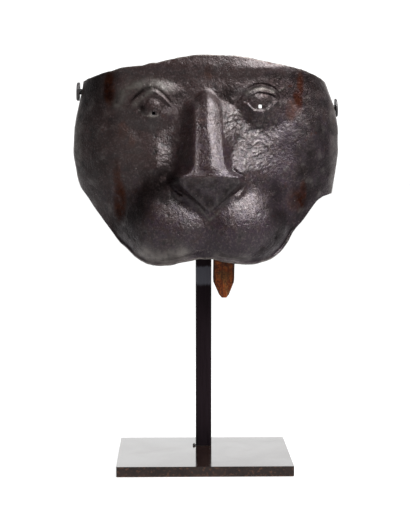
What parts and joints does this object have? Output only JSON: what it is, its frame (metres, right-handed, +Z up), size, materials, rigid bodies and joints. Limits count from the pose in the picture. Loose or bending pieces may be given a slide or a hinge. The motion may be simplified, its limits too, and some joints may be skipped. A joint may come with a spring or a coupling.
{
  "type": "lion-faced guard mask on display stand",
  "caption": "Forged dark iron face guard shaped as a lion's muzzle, open at the back, with side studs and a leather chin tab, held on a plain square post and flat base.",
  "frame": {"origin": "centre of the base plate's underside", "axes": "+Z up the post, the mask faces -Y, +X to the viewer's right"},
  "size_m": [0.1889, 0.1, 0.2848],
  "materials": {
    "iron": "dark brown-black forged iron, satin, finely pitted, with reddish rust stains",
    "stud_iron": "dark worn iron",
    "leather": "old orange-brown leather, streaked, dark at its edges",
    "stand_black": "black-brown, glossy",
    "stand_satin": "satin black"
  },
  "bodies": {
    "root": {"face_plate": "iron", "side_stud_left": "stud_iron", "side_stud_right": "stud_iron", "chin_strap": "leather", "strap_rivet": "stud_iron", "stand_base": "stand_black", "stand_post": "stand_satin", "stand_crossbar": "stand_satin"}
  },
  "joints": []
}
